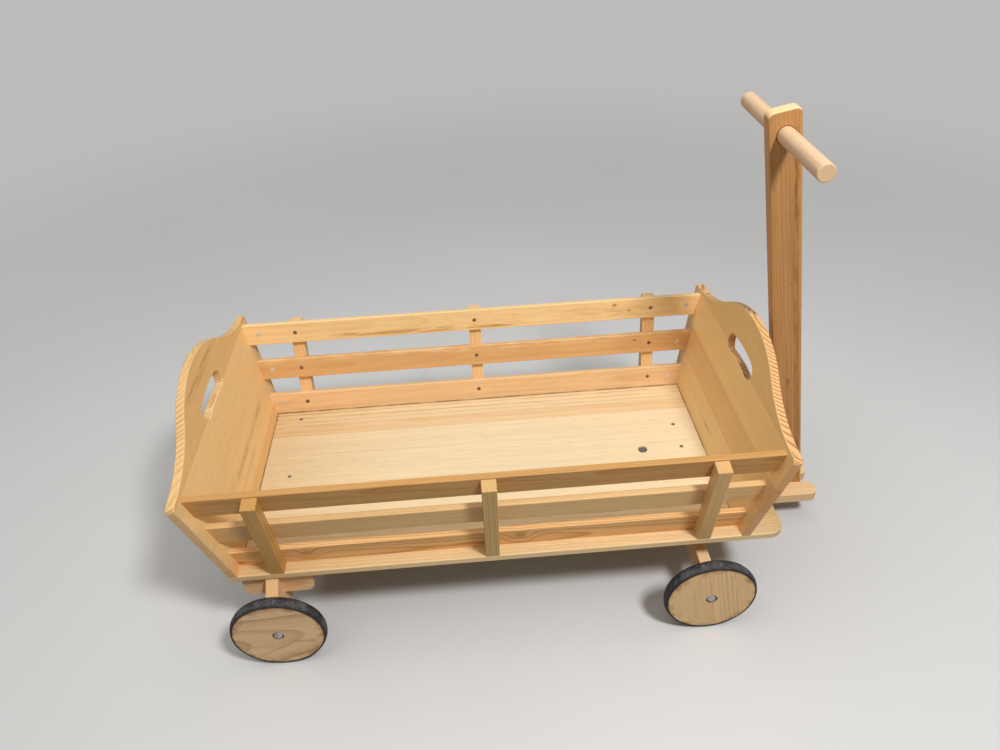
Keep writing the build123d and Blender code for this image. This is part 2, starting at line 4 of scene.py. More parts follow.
import bpy
from mathutils import Matrix, Vector


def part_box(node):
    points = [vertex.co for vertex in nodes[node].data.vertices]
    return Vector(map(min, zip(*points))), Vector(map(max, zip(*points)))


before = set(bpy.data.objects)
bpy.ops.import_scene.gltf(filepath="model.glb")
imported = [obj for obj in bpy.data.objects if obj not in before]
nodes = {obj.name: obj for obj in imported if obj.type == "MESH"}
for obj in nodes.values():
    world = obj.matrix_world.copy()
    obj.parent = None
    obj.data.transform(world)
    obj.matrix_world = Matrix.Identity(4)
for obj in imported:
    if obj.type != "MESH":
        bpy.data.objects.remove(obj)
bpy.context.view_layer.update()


class Wire:  # a socket that sums can be written with
    def __init__(self, finish, socket):
        self.finish = finish
        self.socket = socket

    def math(self, operation, *others):
        return self.finish.math(operation, self, *others)

    def __add__(self, other):
        return self.math("ADD", other)

    def __sub__(self, other):
        return self.math("SUBTRACT", other)

    def __rsub__(self, other):
        return self.finish.math("SUBTRACT", other, self)

    def __mul__(self, other):
        return self.math("MULTIPLY", other)

    def __truediv__(self, other):
        return self.math("DIVIDE", other)

    def __rtruediv__(self, other):
        return self.finish.math("DIVIDE", other, self)

    def __gt__(self, other):
        return self.math("GREATER_THAN", other)

    def __lt__(self, other):
        return self.math("LESS_THAN", other)

    def __abs__(self):
        return self.math("ABSOLUTE")

    __radd__ = __add__
    __rmul__ = __mul__

    def hypot(self, other):
        return (self * self + other * other).math("SQRT")

    def rise(self, start, end):  # 0 before start, 1 after end, smooth between
        spans = {"Value": self, "From Min": start, "From Max": end}
        return self.finish.node("MapRange", {"interpolation_type": "SMOOTHSTEP"}, spans)

    def fall(self, start, end):
        return 1 - self.rise(start, end)

    def also(self, name):  # another output of the same node
        return Wire(self.finish, self.socket.node.outputs[name])


class Finish:  # a material or the world, and the nodes in it
    def __init__(self, owner, shader="Principled BSDF"):
        owner.use_nodes = True
        self.owner = owner
        self.tree = owner.node_tree
        self.shader = self.tree.nodes[shader]

    def node(self, kind, settings=None, links=None, output=0):
        made = self.tree.nodes.new("ShaderNode" + kind)
        for key, value in (settings or {}).items():
            if key == "stops":
                self.setStops(made.color_ramp, value)
            else:
                setattr(made, key, value)
        for key, value in (links or {}).items():
            self.feed(made.inputs[key], value)
        return Wire(self, made.outputs[output])

    def setStops(self, ramp, stops):
        while len(ramp.elements) < len(stops):
            ramp.elements.new(1.0)
        for element, (position, level) in zip(ramp.elements, stops):
            element.position = position
            element.color = (level, level, level, 1.0)

    def feed(self, socket, value):
        if isinstance(value, Wire):
            self.tree.links.new(value.socket, socket)
        elif socket.type == "RGBA":
            socket.default_value = (*value, 1.0)
        else:
            socket.default_value = value

    def set(self, name, value):  # a socket of the shader itself
        self.feed(self.shader.inputs[name], value)

    def math(self, operation, *terms):
        return self.node("Math", {"operation": operation}, dict(enumerate(terms)))

    def mix(self, share, first, second, blend="MIX"):
        settings = {"data_type": "RGBA", "blend_type": blend}
        return self.node("Mix", settings, {0: share, 6: first, 7: second}, 2)

    def shade(self, colour, factor):  # multiplied by a tint or a level
        return self.mix(1.0, colour, factor, "MULTIPLY")

    def stain(self, share, colour, tint):
        return self.mix(share, colour, self.shade(colour, tint))

    def point(self, x, y, z):
        return self.node("CombineXYZ", None, {0: x, 1: y, 2: z})

    def noise(self, point, scale, detail):
        return self.node("TexNoise", None, {"Vector": point, "Scale": scale, "Detail": detail})

    def facing(self, direction):  # 1 where the surface looks that way or the opposite way
        links = {0: self.node("TexCoord", output="Normal"), 1: direction}
        return abs(self.node("VectorMath", {"operation": "DOT_PRODUCT"}, links, 1))

    def relief(self, height, strength, depth):
        links = {"Height": height, "Strength": strength, "Distance": depth}
        self.set("Normal", self.node("Bump", None, links))

    def seen(self):  # 1 for the eye, also in a reflection or through glass
        eye = self.node("LightPath", output="Is Camera Ray")
        return eye + eye.also("Is Glossy Ray") + eye.also("Is Transmission Ray")

    def wear(self, piece):
        piece.data.materials.clear()
        piece.data.materials.append(self.owner)


# wood
grainScales = {  # noise along, across and through the timber, and its detail
    "ripple": (9, 45, 45, 1.0),
    "fibre": (14, 520, 520, 3.0),
    "fleck": (60, 1500, 1500, 1.0),
    "figure": (2.4, 190, 190, 3.0),
    "blotch": (3, 14, 14, 2.0),
    "torn": (22, 170, 60, 3.0),
    "broken": (16, 260, 0, 2.0),
    "dash": (38, 430, 430, 2.0),
    # the next noise breaks up the painted seam shade
    "seamShade": (30, 30, 0, 3.0),
}
nearlySquare = 0.2  # cosine between two sides that meet at about a right angle


class Timber(Finish):  # the wood of one piece, measured from its own corner along the grain
    def __init__(self, piece, look):
        super().__init__(bpy.data.materials.new("pine_" + piece.name))
        self.look = look
        self.draw = random.Random(piece.name)
        self.findAxes(piece, Vector(look["grain"]).normalized())
        spot = self.node("TexCoord", output="Object")
        seat = {"Vector": spot, "Location": self.corner, "Rotation": self.turn}
        local = self.node("Mapping", {"vector_type": "TEXTURE"}, seat)
        self.along = self.node("SeparateXYZ", None, {0: local})
        self.across = self.along.also("Y")
        self.through = self.along.also("Z")

    def findAxes(self, piece, grain):
        faces = sorted(piece.data.polygons, key=lambda face: -face.area)
        broad = faces[0].normal
        if self.look["leaning"]:  # the line where a broad and a narrow side meet
            normals = [face.normal for face in faces]
            side = next(normal for normal in normals if abs(normal.dot(broad)) < nearlySquare)
            length = broad.cross(side).normalized()
            grain = length if length.dot(grain) > 0 else -length
        across = broad.cross(grain).normalized()
        if max(across, key=abs) < 0:
            across.negate()
        through = grain.cross(across).normalized()
        axes = (across.cross(through), across, through)
        spans = [[axis.dot(vertex.co) for vertex in piece.data.vertices] for axis in axes]
        self.grainAxis, self.acrossAxis, self.throughAxis = axes
        self.length, self.width, self.thickness = [max(span) - min(span) for span in spans]
        self.corner = sum((axis * min(span) for axis, span in zip(axes, spans)), Vector())
        self.turn = Matrix(axes).transposed().to_euler()

    def texture(self, kind, shift=0.0):
        alongScale, acrossScale, throughScale, detail = grainScales[kind]
        spot = self.along * alongScale + shift
        spot = self.point(spot, self.across * acrossScale, self.through * throughScale)
        return self.noise(spot, 1.0, detail)

    def byStave(self, values):  # a value for each stave between the glue lines
        level = self.across * 0 + values[0]
        for edge, before, after in zip(self.look["edges"], values, values[1:]):
            level = level + (self.across > edge) * (after - before)
        return level


pine = {
    "grain": (1, 0, 0),
    "leaning": False,
    "pale": (0.86, 0.60, 0.32),
    "lateTint": (0.80, 0.66, 0.48),
    "ringGap": 0.0036,
    "ringDepth": 0.6,
    "fibreDepth": 0.20,
    "figureDepth": 0.12,          # broad streaks along the grain
    "dashes": 0.35,               # short dark dashes along the grain
    "dashTint": (0.72, 0.60, 0.46),
    "blotchDepth": 0.16,
    "sway": 0.010,
    "slope": 0.02,
    "pithAcross": (0.2, 0.8),     # share of the width where the trunk's heart lies
    "pithDepth": (0.03, 0.07),    # metres from the face
    "edges": (),                  # glue lines, metres across the board
    "tints": ((1.0, 1.0, 1.0),),  # one for each stave
    "bold": (1.0,),               # strength of the rings, one for each stave
    "glue": 0.0,
    "glueWidth": (0.0004, 0.0011),
    "knots": (),                  # along, across and radius in metres
    "knotCore": 0.85,
    "wallKnots": (),              # from the middle, from the top and radius, on edges and in holes
    "bores": (),                  # pieces whose holes get a painted shadow ring at their edge, its radius and strength
    "boreRim": (0.0006, 0.0020),  # metres outside that radius, full and gone
    "boreTint": (0.20, 0.13, 0.08),
    "seams": {},                  # painted shade along the seams where other pieces stand on the board
    "streaks": (),                # start, end, across, half width and strength
    "streakTint": (0.66, 0.55, 0.40),
    "shades": (),                 # start and full strength along the board, and strength
    "lines": (),                  # across and strength of single growth lines
    "lineWidth": 0.0012,
    "endTint": (0.92, 0.84, 0.74),
    "endLate": (0.62, 0.46, 0.30),
    "endDepth": 0.6,
    "edgeRings": 0.0,             # rings of the ends carried round the edges
    "arris": 0.003,
    "wornEdge": 0.12,
    "scuffs": {},                 # dirt on a wheel's disc, and a painted shade line round its rim next to the tyre
    "rough": 0.46,
    "sheen": 0.20,
    "coat": 0.02,
    "coatRough": 0.38,
    "bump": 0.18,
    "bumpDepth": 0.0008,
}

ringLook = {
    "shifts": (0, 50),
    "seeds": (0, 90),
    "bendScale": 2.3,
    "twistScale": 3.1,
    "twistShift": 9,
    "staveStep": 3.7,    # from the noise of one stave to the next
    "ripple": 0.0012,
    "unevenScale": 40,
    "uneven": 2.4,       # in rings
    "boldStep": 7.3,     # from the noise of one ring to the next
    "boldRow": 3.0,
    "boldLow": 0.1,
    "boldSpan": 1.4,
    "profile": [(0.0, 0.0), (0.35, 0.10), (0.72, 0.55), (0.90, 1.0), (0.98, 0.2), (1.0, 0.0)],
}

knotLook = {
    "squash": 0.6,       # of the distance along the grain
    "bulgeReach": 2.4,   # in radii of the knot, as the next four
    "bulge": 1.5,
    "halo": (0.8, 2.2),
    "core": (0.75, 1.05),
    "wallCore": (0.7, 1.0),
    "haloTint": (0.72, 0.60, 0.48),
    "haloShare": 0.45,
    "ringGap": 0.0017,
    "ringLow": 0.4,
    "ringSpan": 0.35,
    "rings": ((0.42, 0.22, 0.09), (0.24, 0.11, 0.04)),
    "wallRingGap": 0.0065,
    "wallRings": ((0.30, 0.15, 0.06), (0.62, 0.38, 0.18)),
    "wallSlant": 0.4,
    "wallShare": 0.9,
}

streakLook = {
    "wander": 0.006,     # metres
    "wanderAlong": 5,
    "wanderAcross": 6,
    "taper": 0.05,       # metres at each end
    "core": 0.25,        # share of the half width
    "torn": (0.40, 0.60),
    "tornLow": 0.2,
    "tornSpan": 1.1,
    "broken": (0.34, 0.56),
    "lineWander": 0.25,
    "lineCore": 0.3,
}

endLook = {
    "facing": (0.15, 0.60),
    "wallFacing": (0.3, 0.8),
    "rings": (0.15, 0.85),
    "boldLow": 0.6,
    "boldSpan": 0.4,
}

fibreLook = {
    "dash": (0.60, 0.72),
    "fleckShare": 0.7,   # of the depth of the fibres
    "figureSpan": 2.4,
    "fibreRough": 0.14,
    "lateRough": 0.06,
    "endRough": 0.14,
    "lateHeight": 0.5,
    "fibreHeight": 0.6,
    "fleckHeight": 0.3,
}


def ringDistance(timber):  # from the trunk's heart, which every stave has of its own
    look = timber.look
    draw = timber.draw
    bounds = (0.0, *look["edges"], timber.width)
    hearts = []
    depths = []
    for low, high in zip(bounds, bounds[1:]):
        hearts.append(low + (high - low) * draw.uniform(*look["pithAcross"]))
        depth = draw.uniform(*look["pithDepth"])
        depths.append(-depth if draw.random() < 0.5 else timber.thickness + depth)
    slopes = [draw.uniform(-look["slope"], look["slope"]) for _ in range(2)]
    shift = draw.uniform(*ringLook["shifts"])
    place = timber.along + shift
    stave = timber.byStave(range(len(hearts))) * ringLook["staveStep"]
    bend = timber.noise(timber.point(place, stave, shift), ringLook["bendScale"], 1.0) - 0.5
    shift = shift + ringLook["twistShift"]
    twist = timber.noise(timber.point(place, stave, shift), ringLook["twistScale"], 1.0) - 0.5
    ripple = timber.texture("ripple") - 0.5
    sideways = timber.across - timber.byStave(hearts)
    sideways = sideways - timber.along * slopes[0] + bend * look["sway"]
    inward = timber.through - timber.byStave(depths)
    inward = inward - timber.along * slopes[1] + twist * look["sway"]
    return sideways.hypot(inward) + ripple * ringLook["ripple"]


def knotDistance(timber, along, across):
    return ((timber.along - along) * knotLook["squash"]).hypot(timber.across - across)


def knotBulge(distance, size):  # rings pushed aside by a knot
    spread = distance / (knotLook["bulgeReach"] * size)
    return (spread * spread * -1).math("EXPONENT") * (knotLook["bulge"] * size)


def knotRings(distance, gap):
    return (distance * (2 * math.pi / gap)).math("SINE")


def growRings(timber, knots):  # dark share of the rings, and how bold each ring is
    radius = ringDistance(timber)
    for distance, size in knots:
        radius = radius + knotBulge(distance, size)
    timber.seed = timber.draw.uniform(*ringLook["seeds"])
    uneven = timber.point(radius * ringLook["unevenScale"], timber.seed, 0.0)
    uneven = timber.noise(uneven, 1.0, 1.0) - 0.5
    count = radius / timber.look["ringGap"] + uneven * ringLook["uneven"]
    late = timber.node("ValToRGB", {"stops": ringLook["profile"]}, {0: count.math("FRACT")})
    boldness = count.math("FLOOR") * ringLook["boldStep"]
    boldness = timber.point(boldness, timber.seed, ringLook["boldRow"])
    boldness = timber.noise(boldness, 1.0, 0.0) * ringLook["boldSpan"] + ringLook["boldLow"]
    return late, boldness


def addStreaks(timber, colour):
    look = timber.look
    along = timber.along
    wander = timber.across * streakLook["wanderAcross"]
    wander = timber.point(along * streakLook["wanderAlong"], timber.seed, wander)
    wander = (timber.noise(wander, 1.0, 2.0) - 0.5) * streakLook["wander"]
    torn = timber.texture("torn", timber.seed).rise(*streakLook["torn"])
    torn = torn * streakLook["tornSpan"] + streakLook["tornLow"]
    taper = streakLook["taper"]
    for start, end, level, halfWidth, strength in look["streaks"]:
        band = abs(timber.across + wander - level)
        band = band.fall(streakLook["core"] * halfWidth, halfWidth)
        reach = along.rise(start, start + taper) * along.fall(end - taper, end)
        colour = timber.stain(band * reach * torn * strength, colour, look["streakTint"])
    for start, end, strength in look["shades"]:
        colour = timber.stain(along.rise(start, end) * strength, colour, look["streakTint"])
    broken = timber.texture("broken", timber.seed).rise(*streakLook["broken"])
    for level, strength in look["lines"]:
        line = abs(timber.across + wander * streakLook["lineWander"] - level)
        line = line.fall(streakLook["lineCore"] * look["lineWidth"], look["lineWidth"])
        colour = timber.stain(line * broken * strength, colour, look["streakTint"])
    return colour


def addEndGrain(timber, colour, base, late, boldness, endFace, wall):
    look = timber.look
    boldness = boldness * endLook["boldSpan"] + endLook["boldLow"]
    share = late.rise(*endLook["rings"]) * boldness * look["endDepth"]
    endColour = timber.stain(share, timber.shade(base, look["endTint"]), look["endLate"])
    return timber.mix(endFace + wall * (1 - endFace) * look["edgeRings"], colour, endColour)


def addFibres(timber, colour, fibre, fleck, endFace):
    look = timber.look
    flank = 1 - endFace
    dash = timber.texture("dash").rise(*fibreLook["dash"]) * flank * look["dashes"]
    colour = timber.stain(dash, colour, look["dashTint"])
    light = 1 + (fibre - 0.5) * look["fibreDepth"]
    light = light + (timber.texture("blotch", timber.seed) - 0.5) * look["blotchDepth"]
    light = light + (fleck - 0.5) * (fibreLook["fleckShare"] * look["fibreDepth"])
    figure = (timber.texture("figure", timber.seed) - 0.5) * flank
    light = light + figure * (fibreLook["figureSpan"] * look["figureDepth"])
    for edge in look["edges"]:
        light = light + abs(timber.across - edge).fall(*look["glueWidth"]) * look["glue"]
    halfWidth = timber.width / 2
    halfThickness = timber.thickness / 2
    side = abs(timber.across - halfWidth).rise(halfWidth - look["arris"], halfWidth)
    face = abs(timber.through - halfThickness).rise(halfThickness - look["arris"], halfThickness)
    return timber.shade(colour, light + side * face * look["wornEdge"])


def addKnots(timber, colour, knots, wall):
    look = timber.look
    for distance, size in knots:
        halo = distance.fall(*[size * share for share in knotLook["halo"]])
        core = distance.fall(*[size * share for share in knotLook["core"]])
        rings = knotRings(distance, knotLook["ringGap"])
        rings = rings * knotLook["ringSpan"] + knotLook["ringLow"]
        colour = timber.stain(halo * knotLook["haloShare"], colour, knotLook["haloTint"])
        colour = timber.mix(core * look["knotCore"], colour, timber.mix(rings, *knotLook["rings"]))
    for fromMiddle, fromTop, size in look["wallKnots"]:
        distance = knotDistance(timber, timber.length / 2 + fromMiddle, timber.width - fromTop)
        core = distance.fall(*[size * share for share in knotLook["wallCore"]])
        slant = timber.through * knotLook["wallSlant"]
        rings = knotRings(distance + slant, knotLook["wallRingGap"])
        figured = timber.mix(rings * 0.5 + 0.5, *knotLook["wallRings"])
        colour = timber.mix(core * wall * knotLook["wallShare"], colour, figured)
    return colour


def addBoreShadows(timber, colour):
    look = timber.look
    for boreName, size, strength in look["bores"]:
        low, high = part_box(boreName)
        middle = (low + high) / 2 - timber.corner
        x = timber.along - middle.dot(timber.grainAxis)
        y = timber.across - middle.dot(timber.acrossAxis)
        # a painted shadow ring round the hole's edge
        rim = x.hypot(y).fall(*[size + width for width in look["boreRim"]]) * strength
        colour = timber.stain(rim, colour, look["boreTint"])
    return colour


def addSeamShade(timber, colour):
    seams = timber.look["seams"]
    if not seams:
        return colour
    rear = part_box(seams["rear"])[1].x - timber.corner.x
    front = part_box(seams["front"])[0].x - timber.corner.x
    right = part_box(seams["right"])[1].y - timber.corner.y
    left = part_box(seams["left"])[0].y - timber.corner.y
    gap = (timber.along - rear).math("MINIMUM", front - timber.along)
    gap = gap.math("MINIMUM", (timber.across - right) * seams["squeeze"])
    gap = gap.math("MINIMUM", (left - timber.across) * seams["squeeze"])
    upper = timber.through > timber.thickness / 2
    uneven = timber.texture("seamShade").rise(*seams["uneven"]) * seams["span"] + seams["low"]
    # painted shade on the floor's top face, along the foot of the pieces standing on it
    seamShade = gap.fall(*seams["width"]) * (gap > -seams["under"]) * upper * uneven
    return timber.stain(seamShade, colour, seams["tint"])


def addScuffsAndRimShade(timber, colour):
    scuffs = timber.look["scuffs"]
    if not scuffs:
        return colour
    x = timber.along - timber.length / 2
    y = timber.across - timber.width / 2
    reach = x.hypot(y) / (timber.width / 2)
    smear = timber.noise(timber.point(x, y, 0.0), scuffs["smearScale"], 4.0)
    speck = timber.point(x * scuffs["speckStretch"], y, 0.0)
    speck = timber.noise(speck, scuffs["speckScale"], 3.0)
    rim = reach.rise(*scuffs["rimReach"]) * smear.rise(*scuffs["rimSmear"])
    # a painted shade line round the rim, where the disc meets the tyre
    rim = rim + reach.rise(*scuffs["edgeReach"]) * scuffs["edge"]
    specks = speck.rise(*scuffs["speck"]) * smear.rise(*scuffs["speckSmear"])
    taper = scuffs["smudgeTaper"]
    for start, end, level, halfWidth, strength in scuffs["smudges"]:
        band = abs(timber.across - level).fall(scuffs["smudgeCore"] * halfWidth, halfWidth)
        patch = band * timber.along.rise(start, start + taper)
        patch = patch * timber.along.fall(end - taper, end)
        specks = specks + patch * smear.rise(*scuffs["smudgeSmear"]) * strength
    return timber.stain(rim * scuffs["rim"] + specks * scuffs["specks"], colour, scuffs["tint"])


def pineFinish(piece, look):
    timber = Timber(piece, look)
    knots = [(knotDistance(timber, *knot[:2]), knot[2]) for knot in look["knots"]]
    late, boldness = growRings(timber, knots)
    endFace = timber.facing(timber.grainAxis).rise(*endLook["facing"])
    wall = timber.facing(timber.throughAxis).fall(*endLook["wallFacing"])
    fibre = timber.texture("fibre")
    fleck = timber.texture("fleck")

    staveTint = timber.point(*[timber.byStave(levels) for levels in zip(*look["tints"])])
    base = timber.shade(look["pale"], staveTint)
    depth = boldness * look["ringDepth"] * timber.byStave(look["bold"])
    colour = timber.stain(late * depth, base, look["lateTint"])
    colour = addStreaks(timber, colour)
    colour = addEndGrain(timber, colour, base, late, boldness, endFace, wall)
    colour = addFibres(timber, colour, fibre, fleck, endFace)
    colour = addKnots(timber, colour, knots, wall)
    colour = addBoreShadows(timber, colour)
    colour = addSeamShade(timber, colour)
    colour = addScuffsAndRimShade(timber, colour)

    rough = look["rough"] + (fibre - 0.5) * fibreLook["fibreRough"]
    rough = rough - late * fibreLook["lateRough"] + endFace * fibreLook["endRough"]
    height = late * fibreLook["lateHeight"] + fibre * fibreLook["fibreHeight"]
    height = height + fleck * fibreLook["fleckHeight"]
    timber.set("Base Color", colour)
    timber.set("Roughness", rough)
    timber.set("Specular IOR Level", look["sheen"])
    timber.set("Coat Weight", look["coat"])
    timber.set("Coat Roughness", look["coatRough"])
    timber.relief(height, look["bump"], look["bumpDepth"])
    timber.wear(piece)


# bed
floorLook = {
    **pine,
    "pale": (0.865, 0.70, 0.445),
    "lateTint": (0.86, 0.74, 0.56),
    "ringGap": 0.0042,
    "ringDepth": 0.5,
    "blotchDepth": 0.08,
    "pithAcross": (-0.6, 1.6),
    "edges": (0.062, 0.115, 0.252, 0.361, 0.394),
    "tints": (
        (0.98, 0.89, 0.77),
        (0.98, 0.97, 0.94),
        (1.0, 1.0, 1.0),
        (0.99, 0.99, 1.0),
        (0.95, 0.85, 0.77),
        (0.97, 0.95, 0.92),
    ),
    "bold": (1.2, 1.0, 0.5, 0.5, 1.0, 1.3),
    "glue": -0.10,
    "figureDepth": 0.08,
    # painted shade in the seams where the end boards and bottom slats stand on the floor
    "seams": {
        "rear": "rear_end_board",
        "front": "front_end_board",
        "right": "right_bottom_slat",
        "left": "left_bottom_slat",
        "width": (0.0014, 0.0034),
        "squeeze": 0.5,  # below 1, the painted shade along the sides is wider
        "under": 0.006,  # metres that it goes on below the pieces
        "uneven": (0.30, 0.60),
        "low": 0.6,
        "span": 0.35,
        "tint": (0.34, 0.24, 0.15),
    },
    "shades": ((0.45, -0.05, 0.40), (0.93, 1.0, 0.45)),
    "lineWidth": 0.0020,
    "lines": (
        (0.048, 0.9),
        (0.055, 0.7),
        (0.066, 0.9),
        (0.082, 0.6),
        (0.094, 0.5),
        (0.405, 0.5),
        (0.418, 0.8),
        (0.432, 0.9),
        (0.440, 0.7),
    ),
}
pineFinish(nodes["floor_board"], floorLook)

endBoardLook = {
    **pine,
    "grain": (0, 1, 0),
    "ringGap": 0.0042,
    "ringDepth": 0.4,
    "wornEdge": 0.0,
    "glue": 0.14,
    "pithAcross": (1.4, 2.4),
    "pithDepth": (0.0, 0.03),
    "figureDepth": 0.05,
    "endLate": (0.42, 0.25, 0.15),
    "streakTint": (0.46, 0.34, 0.20),
}
frontBoardLook = {
    **endBoardLook,
    "pale": (1.0, 0.69, 0.31),
    "endTint": (0.96, 0.81, 0.83),
    "endDepth": 1.0,
    "edgeRings": 0.85,
    "ringGap": 0.0034,
    "edges": (0.072, 0.142, 0.214),
    "tints": ((0.94, 0.98, 1.05), (0.90, 0.86, 0.84), (1.02, 1.02, 0.98), (0.92, 0.90, 0.86)),
    "bold": (0.7, 1.2, 0.6, 0.8),
    "streaks": ((0.24, 0.36, 0.038, 0.004, 0.5), (0.30, 0.36, 0.052, 0.003, 0.4)),
    "wallKnots": ((-0.040, 0.093, 0.026),),
}
rearBoardLook = {
    **endBoardLook,
    "pale": (0.91, 0.61, 0.28),
    "endTint": (1.02, 0.97, 1.02),
    "endDepth": 0.7,
    "edgeRings": 0.25,
    "edges": (0.028, 0.098, 0.209),
    "tints": ((0.98, 0.92, 0.86), (1.02, 1.04, 1.04), (1.04, 1.06, 1.06), (0.96, 0.93, 0.88)),
    "bold": (1.0, 0.7, 0.5, 1.2),
    "streaks": (
        (0.17, 0.46, 0.077, 0.009, 0.35),
        (0.10, 0.34, 0.052, 0.006, 0.25),
        (0.16, 0.40, 0.275, 0.006, 0.35),
        (0.18, 0.36, 0.266, 0.005, 0.25),
    ),
}
pineFinish(nodes["front_end_board"], frontBoardLook)
pineFinish(nodes["rear_end_board"], rearBoardLook)

slatLooks = {
    "left_top_slat": {
        "pale": (0.98, 0.68, 0.335),
        "ringDepth": 0.35,
        "knots": ((0.781, 0.034, 0.0025), (0.812, 0.020, 0.0018)),
        "streaks": (
            (0.16, 0.62, 0.009, 0.007, 0.7),
            (0.30, 0.60, 0.005, 0.004, 0.5),
            (0.62, 0.88, 0.022, 0.020, 0.3),
        ),
    },
    "left_middle_slat": {
        "pale": (0.77, 0.455, 0.192),
        "ringDepth": 0.5,
        "knots": ((0.812, 0.031, 0.0025),),
        "streaks": ((-0.10, 1.10, 0.043, 0.012, 0.8),),  # sapwood
        "streakTint": (1.14, 1.28, 1.55),
    },
    "left_bottom_slat": {"pale": (0.89, 0.60, 0.32), "ringDepth": 0.4},
    # darker partly as painted shade of its shaded outer face, partly its own wood tone
    "right_top_slat": {"pale": (0.62, 0.34, 0.115), "ringDepth": 0.9, "pithAcross": (0.7, 1.4)},
    "right_middle_slat": {
        "pale": (0.83, 0.545, 0.25),
        "ringDepth": 0.35,
        "shades": ((0.55, 0.05, 0.30),),
    },
    "right_bottom_slat": {
        "pale": (0.90, 0.54, 0.23),
        "ringDepth": 1.0,
        "lateTint": (0.54, 0.40, 0.26),
        "ringGap": 0.0042,
        "slope": 0.05,
        "knots": ((0.130, 0.029, 0.006), (0.503, 0.027, 0.0065)),
        "knotCore": 0.3,
        "figureDepth": 0.22,
    },
}
for slatName, slatLook in slatLooks.items():
    pineFinish(nodes[slatName], {**pine, **slatLook})

stakeLook = {
    **pine,
    "grain": (0, 0, 1),
    "leaning": True,
    "pale": (0.95, 0.65, 0.32),
    "ringDepth": 0.8,
    "slope": 0.004,
    "sway": 0.004,
    "pithAcross": (2.0, 3.0),
    "pithDepth": (0.0, 0.01),
    "figureDepth": 0.22,
    "endTint": (1.06, 1.02, 1.0),
}
# The far stakes share the paler look above and the near (right) ones are darker: partly their own
# wood tone, partly painted light and shade, the far faces lit and the near faces shaded.
stakeLooks = {
    "right_rear_stake": {"pale": (0.61, 0.345, 0.105)},
    "right_middle_stake": {
        "pale": (0.73, 0.485, 0.197),
        "lateTint": (0.52, 0.43, 0.30),
        "ringDepth": 1.0,
    },
    "right_front_stake": {"pale": (0.75, 0.48, 0.212)},
}
gearLook = {**pine, "pale": (0.97, 0.66, 0.37)}
crossLook = {**gearLook, "grain": (0, 1, 0)}
lengthwisePieces = ("gusset", "drawbar_arm", "front_bolster", "turntable_board")
crosswisePieces = ("rear_axle_board", "front_axle_beam", "bogie_block", "arm_spacer")
for pieceName, piece in nodes.items():
    if pieceName.endswith("stake"):
        pineFinish(piece, {**stakeLook, **stakeLooks.get(pieceName, {})})
    elif pieceName.endswith(lengthwisePieces):
        pineFinish(piece, gearLook)
    elif pieceName in crosswisePieces:
        pineFinish(piece, crossLook)
print("bed and running gear done")

# pull handle
poleLook = {
    **pine,
    "grain": (0, 0, 1),
    "leaning": True,
    "pale": (0.655, 0.34, 0.125),
    # painted light: the pole lighter towards its top, where it is lit more, and darker below
    "shades": ((0.84, 0.60, 0.25),),
    "lateTint": (0.70, 0.54, 0.40),
    "ringDepth": 0.4,
    "figureDepth": 0.34,
    "dashes": 0.7,
    "pithAcross": (1.2, 1.4),
    "slope": 0.01,
    "endTint": (1.60, 2.05, 3.00),
    "endDepth": 0.3,
    "knots": ((0.3185, 0.0265, 0.0035),),
    # a painted shadow ring round the dowel's hole
    "bores": (("handle_dowel", 0.014, 0.85),),
    "streaks": ((0.02, 0.60, 0.042, 0.006, 0.5), (0.64, 0.84, 0.044, 0.007, 0.8)),
    "lines": ((0.004, 0.7), (0.040, 0.6), (0.046, 0.7)),
}
dowelLook = {
    **pine,
    "grain": (0, 1, 0),
    "pale": (0.84, 0.58, 0.36),
    "lateTint": (0.90, 0.82, 0.74),
    "endTint": (1.08, 1.05, 0.99),
    "endDepth": 0.25,
    "ringDepth": 0.4,
    "fibreDepth": 0.22,
    "wornEdge": 0.0,
    "bump": 0.10,
}
pineFinish(nodes["handle_pole"], poleLook)
pineFinish(nodes["handle_dowel"], dowelLook)

# wheels
wheelLook = {**pine, "ringGap": 0.0055, "wornEdge": 0.0}
scuffAndRimShadeLook = {
    "rim": 0.8,               # dirt along the rim
    "rimReach": (0.78, 1.0),  # share of the radius
    "rimSmear": (0.46, 0.66),
    # the next two: a painted shade line round the rim, where the disc meets the tyre
    "edge": 0.7,
    "edgeReach": (0.94, 1.0),
    "smearScale": 46.0,
    "specks": 0.15,
    "speck": (0.60, 0.70),
    "speckSmear": (0.42, 0.60),
    "speckScale": 240.0,
    "speckStretch": 0.4,
    "smudges": (),            # start, end, across, half width and strength
    "smudgeSmear": (0.36, 0.62),
    "smudgeCore": 0.2,        # share of the half width
    "smudgeTaper": 0.03,      # metres at each end
    "tint": (0.46, 0.38, 0.30),
}
